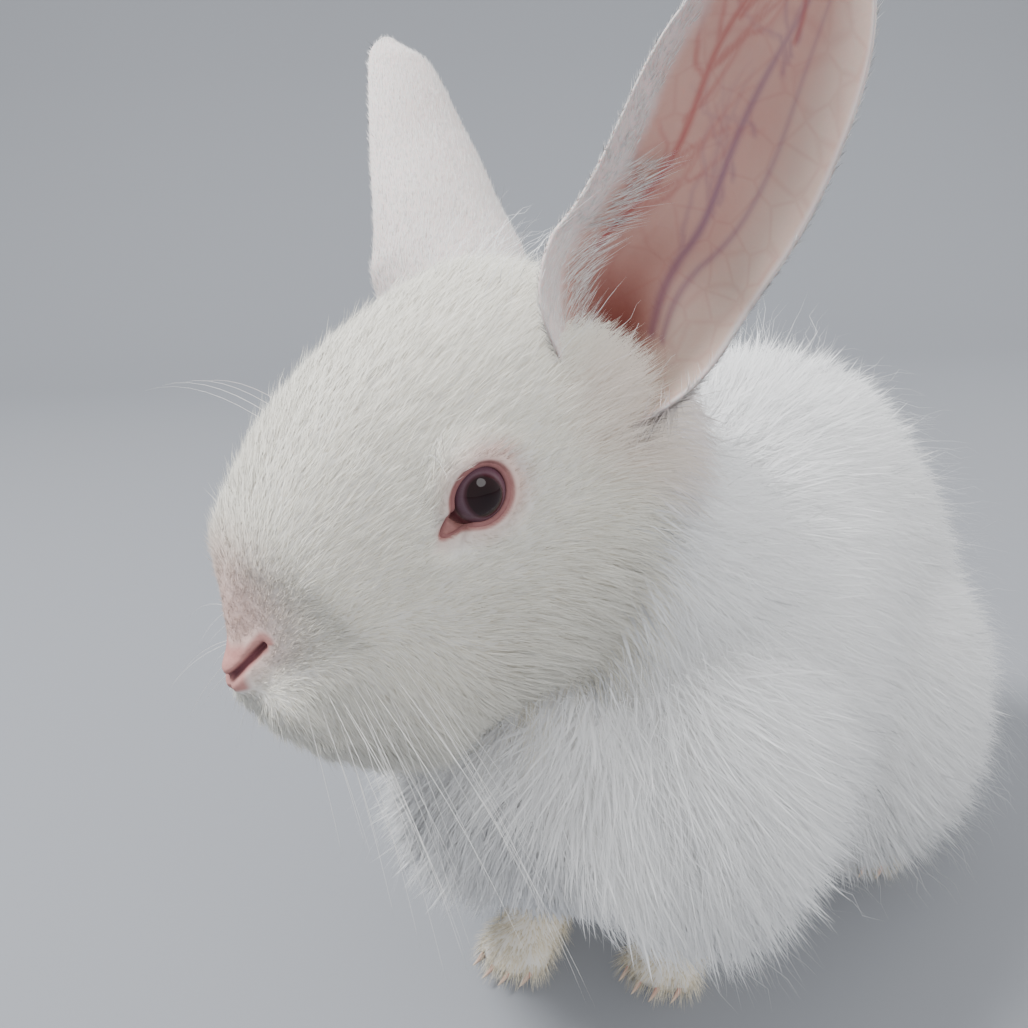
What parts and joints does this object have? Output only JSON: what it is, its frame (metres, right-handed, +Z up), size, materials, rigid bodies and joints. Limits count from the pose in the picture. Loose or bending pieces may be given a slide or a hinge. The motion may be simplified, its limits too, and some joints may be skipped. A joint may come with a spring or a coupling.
{
  "type": "angora rabbit",
  "caption": "Life-size still model of a sitting white angora rabbit: long wool on the body, bare upright ears, red eyes, head turned to its right.",
  "frame": {"origin": "on the floor, at the middle of the model's box", "axes": "+Z up, the rabbit's body faces -Y, +X to the rabbit's left"},
  "size_m": [0.2104, 0.3404, 0.3132],
  "materials": {
    "short_coat": "short soft fur",
    "white_wool": "long fluffy wool",
    "ear_skin": "thin bare skin",
    "ruby_eye": "polished"
  },
  "bodies": {
    "root": {"head": "short_coat", "eye_left": "ruby_eye", "eye_right": "ruby_eye", "ear_left": "ear_skin", "ear_right": "ear_skin", "neck": "white_wool", "chest": "white_wool", "torso": "white_wool", "tail": "white_wool", "foreleg_left": "short_coat", "foreleg_right": "short_coat", "hindleg_left": "white_wool", "hindleg_right": "white_wool"}
  },
  "joints": []
}
